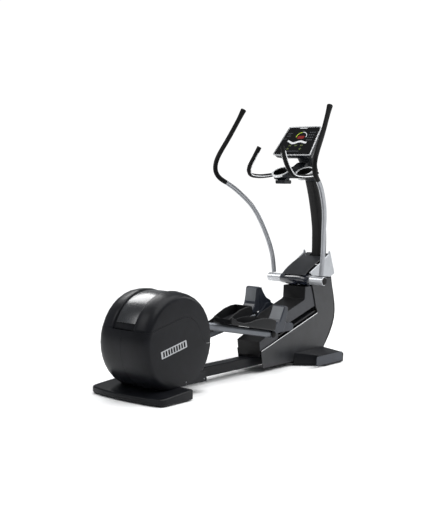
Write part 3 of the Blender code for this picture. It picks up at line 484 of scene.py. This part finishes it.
class TRAINER_OT_drive(bpy.types.Operator):
    """Build the crank, the pulleys, the belt and the steel frame inside the drum"""
    bl_idname = "trainer.drive"
    bl_label = "Drive"

    def execute(self, context):
        refined("rear_frame", "steel", "drive_frame_plates", bevel=0.0008)
        refined("crankshaft", "steel", "crankshaft_bar", bevel=0.0008)
        refined("drive_pulley", "iron", "drive_pulley_wheel", bevel=0.0006)
        refined("flywheel", "iron", "flywheel_disc", bevel=0.0006)
        refined("drive_belt", "rubber", "ribbed_drive_belt")
        for side_name in SIDES:
            refined(f"crank_arm_{side_name}", "steel", f"crank_arm_forging_{side_name}", bevel=0.0012)
        return {"FINISHED"}


# ------------------------------------------------------------------------------------------------ tower

class TRAINER_OT_tower(bpy.types.Operator):
    """Build the tower's panels, covers, wings, rails and the bright strip along each slot"""
    bl_idname = "trainer.tower"
    bl_label = "Tower"

    def execute(self, context):
        sizes = context.scene.trainer_sizes
        refined("tower_post", "steel", "tower_post_weldment", bevel=0.002)
        refined("spine_cover", "cover", "spine_cover_moulding", bevel=0.0012)
        refined("nose_cover", "cover", "nose_cover_moulding", bevel=0.0012)
        refined("hood", "hood", "hood_moulding", bevel=0.0015)
        refined("axle_boss", "boss", "axle_boss_tube", bevel=0.0008, sharp=30.0)
        refined("lever_axle", "steel", "lever_axle_bar", bevel=0.001)
        for side_name, side in SIDES.items():
            refined(f"tower_side_{side_name}", "panel", f"side_panel_{side_name}", bevel=0.0010)
            refined(f"tower_insert_{side_name}", "insert", f"insert_panel_{side_name}", bevel=0.0010)
            refined(f"rail_{side_name}", "steel", f"roller_rail_{side_name}", bevel=0.001)
            refined(f"wing_{side_name}", "wing", f"wing_moulding_{side_name}", bevel=0.0018)
            # bright strip along the lower edge of the slot
            upper = 0.147 + 0.2956 * (0.794 - 0.152) - 0.0018
            lower = 0.147 + 0.2956 * (0.156 - 0.152) - 0.0018
            outline = [(0.156, lower - sizes.trim_width), (0.794, upper - sizes.trim_width), (0.794, upper),
                       (0.156, lower)]
            panel_low, panel_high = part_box(f"tower_side_{side_name}")
            outer = panel_high.y if side > 0 else -panel_low.y
            turn = Matrix.Rotation(math.pi / 2.0, 4, "X")
            strip = extruded(outline, -outer - 0.0008 if side > 0 else outer - 0.0004,
                             -outer + 0.0004 if side > 0 else outer + 0.0008, turn)
            keep_piece(f"slot_strip_{side_name}", strip, "trim", "frame", bevel=0.0003)
        return {"FINISHED"}


class TRAINER_OT_mast(bpy.types.Operator):
    """Build the mast and the funnel that carries the console"""
    bl_idname = "trainer.mast"
    bl_label = "Mast"

    def execute(self, context):
        refined("mast", "mast", "mast_column", smooth=2)
        refined("neck_shroud", "housing", "neck_funnel", smooth=2)
        return {"FINISHED"}


# ------------------------------------------------------------------------------------------------ levers

class TRAINER_OT_levers(bpy.types.Operator):
    """Build the lever hubs, tubes and grips"""
    bl_idname = "trainer.levers"
    bl_label = "Levers"

    def execute(self, context):
        for side_name, side in SIDES.items():
            body = f"lever_{side_name}"
            low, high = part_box(f"lever_hub_{side_name}")
            centre = middle(f"lever_hub_{side_name}")
            refined(f"lever_tube_{side_name}", "aluminium", f"lever_tube_bent_{side_name}", smooth=2)
            refined(f"lever_grip_{side_name}", "rubber", f"lever_grip_foam_{side_name}", smooth=2)
            length = high.y - low.y
            radius = (high.z - low.z) / 2.0
            sleeve = [(-length / 2.0, 0.0145), (-length / 2.0, radius - 0.0022), (-length / 2.0 + 0.0022, radius),
                      (length / 2.0 - 0.0022, radius), (length / 2.0, radius - 0.0022), (length / 2.0, 0.0145)]
            keep_piece(f"lever_hub_sleeve_{side_name}", spun(sleeve, centre, "Y", 56), "silver", body,
                       (f"lever_hub_{side_name}",), sharp=30.0)
            end_y = high.y if side > 0 else low.y
            cap = [(0.0, 0.0), (0.0, radius - 0.0030), (side * 0.0016, radius - 0.0042),
                   (side * 0.0022, radius - 0.008), (side * 0.0022, 0.0)]
            keep_piece(f"hub_end_cap_{side_name}", spun(cap, (centre.x, end_y, centre.z), "Y", 48), "seal", body,
                       sharp=30.0)
        return {"FINISHED"}


# ------------------------------------------------------------------------------------------------ console

def on_face(edit):
    """Lay a mesh edit drawn flat on the console's face: x up the face, y to the left."""
    centre = Vector((0.658, 0.0, 1.5172))
    bmesh.ops.transform(edit, matrix=Matrix.Translation(centre) @ Matrix.Rotation(FACE_TILT, 4, "Y"),
                        verts=edit.verts)
    return edit


def face_outline(grow):
    """The console's outline, narrower at the top, this far outside the glass."""
    half_height, half_top, half_bottom = 0.1218 + grow, 0.125 + grow, 0.146 + grow
    corners = [(-half_height, -half_bottom), (half_height, -half_top), (half_height, half_top),
               (-half_height, half_bottom)]
    radius = 0.009
    outline = []
    for index, corner in enumerate(corners):
        here = Vector(corner)
        before = (Vector(corners[index - 1]) - here).normalized() * radius
        after = (Vector(corners[(index + 1) % 4]) - here).normalized() * radius
        for step in range(7):
            share = step / 6
            outline.append(tuple((here + before).lerp(here, share).lerp(here.lerp(here + after, share), share)))
    return outline


def flat_arc(radius, width, start, end, steps=40):
    """(x, y) outline of part of a ring; angles in degrees from the top of the face towards its left."""
    angles = [math.radians(start + (end - start) * step / steps) for step in range(steps + 1)]
    outside = [(radius * math.cos(angle), radius * math.sin(angle)) for angle in angles]
    inside = [((radius - width) * math.cos(angle), (radius - width) * math.sin(angle)) for angle in reversed(angles)]
    return outside + inside


def moved(outline, x, y):
    return [(a + x, b + y) for a, b in outline]


class TRAINER_OT_console(bpy.types.Operator):
    """Build the console's face, its trim, printed dial, keys and back"""
    bl_idname = "trainer.console"
    bl_label = "Console"

    def execute(self, context):
        refined("console_housing", "housing", "console_back_moulding", bevel=0.002)
        refined("console_face", "glass", "console_face_sheet", bevel=0.0006)
        # silver frame round the edge of the glass, just proud of it, its pale colour a painted highlight
        edit = bmesh.new()
        ring = [edit.verts.new((x, y, -0.0110)) for x, y in face_outline(0.0062)]
        face = edit.faces.new(ring)
        bmesh.ops.inset_region(edit, faces=[face], thickness=0.0082, use_boundary=True, use_even_offset=True)
        bmesh.ops.delete(edit, geom=[face], context="FACES")
        grown = bmesh.ops.extrude_face_region(edit, geom=list(edit.faces))["geom"]
        lifted = [item for item in grown if isinstance(item, bmesh.types.BMVert)]
        bmesh.ops.translate(edit, verts=lifted, vec=(0.0, 0.0, 0.0122))
        bmesh.ops.recalc_face_normals(edit, faces=edit.faces)
        keep_piece("console_trim", on_face(edit), "trim", "frame", bevel=0.0009)

        ink, top = 0.00005, 0.0007
        prints = {
            "dial_green": ("print_green", flat_arc(0.0430, 0.0062, 8.0, 96.0)),
            "dial_white": ("print_white", flat_arc(0.0430, 0.0050, 4.0, -96.0)),
            "display_window": ("print_red", moved(rounded_box(0.0130, 0.0270, 0.008), -0.006, 0.0)),
            "top_tab": ("trim", moved(rounded_box(0.0032, 0.030, 0.0025), 0.1125, 0.004)),
        }
        centre_x, centre_y = 0.034, -0.010
        for name, (kind, outline) in prints.items():
            shift = (0.0, 0.0) if name == "top_tab" else (centre_x, centre_y)
            keep_piece(name, on_face(extruded(moved(outline, *shift), ink, top)), kind, "frame")
        wave = []
        for step in range(25):
            share = step / 24
            crest = 0.010 * math.cos(share * math.tau * 1.5) * (1.0 - 0.4 * share)
            wave.append((crest - 0.008, 0.083 - 0.160 * share))
        band = wave + [(x - 0.014 - 0.004 * math.sin(index / 24 * math.pi), y)
                       for index, (x, y) in reversed(list(enumerate(wave)))]
        keep_piece("printed_wave", on_face(extruded(band, ink, top)), "print_white", "frame")
        pads = [extruded(moved(rounded_box(0.0048, 0.0052, 0.002, 3), 0.072 - 0.023 * row, -0.070 - 0.0175 * column),
                         ink, top) for row in range(4) for column in range(3)]
        keep_piece("number_pad", on_face(join_edits(pads)), "print_grey", "frame")
        lines = [extruded(moved(rounded_box(0.0022, half, 0.0015, 2), x, y), ink, top)
                 for x, y, half in ((0.066, 0.092, 0.018), (0.052, 0.095, 0.015), (0.038, 0.094, 0.017),
                                    (0.014, 0.112, 0.012), (-0.098, 0.0, 0.050), (0.086, -0.006, 0.009))]
        keep_piece("printed_lines", on_face(join_edits(lines)), "print_grey", "frame")
        keys = [extruded(moved(rounded_box(0.0062, 0.0105, 0.004, 4), -0.0475, y), ink, 0.0016)
                for y in (0.044, -0.003, -0.050)]
        keep_piece("olive_keys", on_face(join_edits(keys)), "key", "frame", bevel=0.0005)
        refined("start_key", "key", "start_key_cap", bevel=0.0008)
        refined("stop_key", "key", "stop_key_cap", bevel=0.0008)
        return {"FINISHED"}


class TRAINER_OT_tray(bpy.types.Operator):
    """Build the tray with its two cup holders and the reader under it"""
    bl_idname = "trainer.tray"
    bl_label = "Tray"

    def execute(self, context):
        refined("accessory_tray", "housing", "tray_moulding", bevel=0.0016)
        refined("reader_pod", "housing", "reader_box", bevel=0.003)
        stem = [(0.568, 1.2445), (0.628, 1.2445), (0.628, 1.2800), (0.568, 1.2470)]
        edit = extruded(stem, -0.100, -0.042, Matrix.Rotation(math.pi / 2.0, 4, "X"))
        keep_piece("reader_stem", edit, "housing", "frame", bevel=0.002)
        place = Matrix.Translation((0.605, 0.0, 1.300)) @ Matrix.Rotation(math.radians(-30.0), 4, "Y")
        for side_name, side in SIDES.items():
            liner = [(-0.0215, 0.0), (-0.0215, 0.0502), (0.0052, 0.0525), (0.0072, 0.0505), (-0.0190, 0.0478),
                     (-0.0190, 0.0)]
            edit = spun(liner, (0.0, side * 0.098, 0.0), "Z", 56)
            bmesh.ops.transform(edit, matrix=place, verts=edit.verts)
            keep_piece(f"cup_liner_{side_name}", edit, "seal", "frame", sharp=30.0)
            drop = -0.0060 if side > 0 else -0.0180
            rim = [(drop, 0.0595), (drop, 0.0638), (0.0060, 0.0652), (0.0088, 0.0640), (0.0088, 0.0535),
                   (0.0066, 0.0528), (0.0064, 0.0600)]
            edit = spun(rim, (0.0, side * 0.098, 0.0), "Z", 64)
            bmesh.ops.transform(edit, matrix=place, verts=edit.verts)
            keep_piece(f"cup_rim_{side_name}", edit, "trim", "frame", sharp=30.0)
        return {"FINISHED"}


class TRAINER_OT_handlebars(bpy.types.Operator):
    """Build the fixed handlebars with their pulse-sensor strips"""
    bl_idname = "trainer.handlebars"
    bl_label = "Handlebars"

    def execute(self, context):
        for side_name, side in SIDES.items():
            refined(f"sensor_grip_{side_name}", "rubber", f"sensor_grip_cover_{side_name}", smooth=2)
            refined(f"handlebar_{side_name}", "rubber", f"handlebar_tube_{side_name}", smooth=2)
            guide = [(0.349, 0.093, 1.464), (0.334, 0.122, 1.397), (0.327, 0.152, 1.340), (0.340, 0.169, 1.303),
                     (0.376, 0.177, 1.278), (0.466, 0.179, 1.271), (0.560, 0.180, 1.276), (0.622, 0.176, 1.284),
                     (0.662, 0.158, 1.293)]
            path = smooth_path([(x, side * y, z) for x, y, z in guide], 6)
            for label, sign in (("inner", -1.0), ("outer", 1.0)):
                strip = []
                for index in range(3, len(path) - 1):
                    along = (path[index + 1] - path[index - 1]).normalized()
                    across = Vector((0.0, 1.0, 0.0))
                    across = (across - along * across.dot(along)).normalized()
                    share = index / (len(path) - 1)
                    reach = (0.0160 if share < 0.4 else 0.0145) * sign * side
                    strip.append(path[index] + across * reach)
                keep_piece(f"sensor_strip_{label}_{side_name}", swept(strip, 0.0034, 8), "trim", "frame",
                           sharp=60.0)
        return {"FINISHED"}


# ------------------------------------------------------------------------------------------------ pedals

def pedal_place(side_name):
    """Where the pedal arm's own axes lie: x forward along the arm from its front pin, z up off it."""
    pin = {"left": Vector((0.40882, 0.0, 0.32974)), "right": Vector((0.17598, 0.0, 0.26166))}[side_name]
    angle = math.radians(129.0 + (180.0 if side_name == "left" else 0.0))
    eye = Vector((-0.729 + 0.185 * math.cos(angle), 0.0, 0.316 + 0.185 * math.sin(angle)))
    pitch = math.atan2(eye.z - pin.z, pin.x - eye.x)
    return Matrix.Translation(pin) @ Matrix.Rotation(pitch, 4, "Y")


class TRAINER_OT_pedals(bpy.types.Operator):
    """Build the trolleys, rollers, pedal arms, footplates and toe plates"""
    bl_idname = "trainer.pedals"
    bl_label = "Pedals"

    def execute(self, context):
        sizes = context.scene.trainer_sizes
        for side_name, side in SIDES.items():
            refined(f"trolley_{side_name}", "trolley", f"trolley_casting_{side_name}", bevel=0.0018)
            refined(f"roller_{side_name}", "rubber", f"roller_tyre_{side_name}", bevel=0.0005)
            refined(f"pedal_arm_{side_name}", "arm", f"pedal_arm_section_{side_name}", bevel=0.0008)
            refined(f"footplate_{side_name}", "pedal", f"footplate_moulding_{side_name}", bevel=0.0014)
            refined(f"toe_plate_{side_name}", "trolley", f"toe_plate_moulding_{side_name}", bevel=0.0016)
            place = pedal_place(side_name)
            lean = (place @ Matrix.Translation((-0.0165, 0.0, 0.0835)) @ Matrix.Rotation(math.radians(18.4), 4, "Y")
                    @ Matrix.Rotation(math.pi / 2.0, 4, "X") @ Matrix.Scale(-1.0, 4, (0.0, 0.0, 1.0)))
            pad = extruded([(0.0, 0.0), (0.0, 0.105), (0.0035, 0.105), (0.0035, 0.0)], side * 0.176 - 0.042,
                           side * 0.176 + 0.042, lean)
            bmesh.ops.recalc_face_normals(pad, faces=pad.faces)
            keep_piece(f"toe_pad_{side_name}", pad, "toe_pad", f"pedal_{side_name}", bevel=0.0012)
            flank = [(0.030, 0.188), (0.060, 0.184), (0.076, 0.146), (0.104, 0.104), (0.150, 0.072), (0.158, 0.050),
                     (0.120, 0.032), (0.030, 0.032)]
            low, high = sorted((side * 0.1234, side * 0.1258))
            bracket = extruded([(x, -z) for x, z in flank], low, high, place @ Matrix.Rotation(-math.pi / 2.0, 4, "X"))
            keep_piece(f"toe_bracket_{side_name}", bracket, "trolley", f"pedal_{side_name}", bevel=0.0006)
            pin, cap_height = place.translation, side * 0.0040
            cap = [(0.0, 0.0), (0.0, 0.0215), (cap_height * 0.7, 0.0200), (cap_height, 0.0170), (cap_height, 0.0)]
            keep_piece(f"pin_cap_{side_name}", spun(cap, (pin.x, side * 0.1784, pin.z), "Y", 40), "seal",
                       f"pedal_{side_name}", sharp=30.0)
            start, end = -0.500, -0.110
            count = int((end - start) / sizes.tread_pitch) + 1
            spots = [(start + index * sizes.tread_pitch, side * 0.175, 0.0) for index in range(count)]
            ribs = [extruded(rounded_box(0.0042, 0.0555, 0.003, 3), 0.0300, 0.0362, place @ Matrix.Translation(spot))
                    for spot in spots]
            keep_piece(f"tread_ribs_{side_name}", join_edits(ribs), "tread", f"pedal_{side_name}", bevel=0.0008)
        return {"FINISHED"}


class TRAINER_OT_fasteners(bpy.types.Operator):
    """Set the visible screws"""
    bl_idname = "trainer.fasteners"
    bl_label = "Fasteners"

    def execute(self, context):
        radius = context.scene.trainer_sizes.screw_radius
        heads = []
        for side in SIDES.values():
            out = (0.0, side, 0.0)
            for x, z in ((-0.520, 0.083), (-0.680, 0.085)):
                heads.append(domed((x, side * 0.1900, z), out, radius, 0.0026))
        keep_piece("panel_screws", join_edits(heads), "zinc", "frame", sharp=30.0)
        return {"FINISHED"}


# ------------------------------------------------------------------------------------------------ stage

class TRAINER_OT_stage(bpy.types.Operator):
    """Lay the pale floor, hang the soft lights and set the camera"""
    bl_idname = "trainer.stage"
    bl_label = "Stage"

    def execute(self, context):
        scene = context.scene
        scene.view_settings.view_transform = "Standard"
        edit = bmesh.new()
        bmesh.ops.create_grid(edit, x_segments=1, y_segments=1, size=scene.trainer_sizes.floor_size / 2.0)
        mesh = bpy.data.meshes.new("studio_floor")
        edit.to_mesh(mesh)
        edit.free()
        # Matt white studio vinyl.
        mesh.materials.append(surface("studio_vinyl_white", ("F4F4F4", "F8F8F8"), (0.7, 0.8), 40.0, 0.02,
                                      Specular_IOR_Level=0.1))
        floor = bpy.data.objects.new("studio_floor", mesh)
        scene.collection.objects.link(floor)

        world = bpy.data.worlds.new("studio")
        world.use_nodes = True
        tree = world.node_tree
        tree.nodes["Background"].inputs["Color"].default_value = (0.94, 0.97, 1.0, 1.0)
        tree.nodes["Background"].inputs["Strength"].default_value = 0.26
        paper = add(tree, "Background", {}, {"Color": (1.0, 1.0, 1.0, 1.0), "Strength": 1.05})
        seen = add(tree, "LightPath").outputs["Is Camera Ray"]
        blend = add(tree, "MixShader", {}, {}, {0: seen, 1: tree.nodes["Background"].outputs["Background"],
                                                2: paper.outputs["Background"]})
        tree.links.new(blend.outputs["Shader"], tree.nodes["World Output"].inputs["Surface"])
        scene.world = world

        lamp = bpy.data.lights.new("overhead_diffuser", "SUN")
        lamp.angle = math.radians(70.0)
        lamp.energy = 3.3
        light = bpy.data.objects.new("overhead_diffuser", lamp)
        light.rotation_euler = (math.radians(16.0), math.radians(10.0), 0.0)
        scene.collection.objects.link(light)

        for name, place, target, size, power in (
                ("drum_softbox", (-0.30, 1.15, 1.80), (-0.80, 0.0, 0.55), 0.8, 15.0),
                ("front_softbox", (3.6, -2.2, 2.4), (0.9, 0.0, 0.5), 1.8, 60.0),
                ("rear_softbox", (-3.4, 1.6, 3.4), (-0.4, 0.0, 0.6), 1.4, 30.0)):
            lamp = bpy.data.lights.new(name, "AREA")
            lamp.size = size
            lamp.energy = power
            light = bpy.data.objects.new(name, lamp)
            light.visible_camera = False
            light.location = place
            aim = Vector(target) - Vector(place)
            light.rotation_euler = aim.to_track_quat("-Z", "Y").to_euler()
            scene.collection.objects.link(light)

        lens = bpy.data.cameras.new("studio_camera")
        lens.sensor_width = 36.0
        lens.lens = 68.0
        camera = bpy.data.objects.new("studio_camera", lens)
        turn = (Matrix.Rotation(math.radians(-50.16), 4, "Z") @ Matrix.Rotation(math.radians(85.42), 4, "X")
                @ Matrix.Rotation(math.radians(0.84), 4, "Z"))
        camera.matrix_world = Matrix.Translation((-4.79072, -3.79092, 1.25063)) @ turn
        scene.collection.objects.link(camera)
        scene.camera = camera
        return {"FINISHED"}


STEPS = (TRAINER_OT_stage, TRAINER_OT_base, TRAINER_OT_drum, TRAINER_OT_drive, TRAINER_OT_tower, TRAINER_OT_mast,
         TRAINER_OT_levers, TRAINER_OT_console, TRAINER_OT_tray, TRAINER_OT_handlebars, TRAINER_OT_pedals,
         TRAINER_OT_fasteners)


class TRAINER_PT_panel(bpy.types.Panel):
    """Lists the trainer's pieces and settings"""
    bl_idname = "TRAINER_PT_panel"
    bl_label = "Elliptical Trainer"
    bl_space_type = "VIEW_3D"
    bl_region_type = "UI"
    bl_category = "Trainer"

    def draw(self, context):
        layout = self.layout
        for group in (context.scene.trainer_sizes, context.scene.trainer_colours):
            for name in group.__annotations__:
                layout.prop(group, name)
        for step in STEPS:
            layout.operator(step.bl_idname)


CLASSES = (TrainerSizes, TrainerColours) + STEPS + (TRAINER_PT_panel,)


def register():
    for item in CLASSES:
        bpy.utils.register_class(item)
    bpy.types.Scene.trainer_sizes = bpy.props.PointerProperty(type=TrainerSizes)
    bpy.types.Scene.trainer_colours = bpy.props.PointerProperty(type=TrainerColours)


def unregister():
    del bpy.types.Scene.trainer_colours
    del bpy.types.Scene.trainer_sizes
    for item in reversed(CLASSES):
        bpy.utils.unregister_class(item)


def main():
    register()
    for step in STEPS:
        group, name = step.bl_idname.split(".")
        getattr(getattr(bpy.ops, group), name)()


if __name__ == "__main__":
    main()
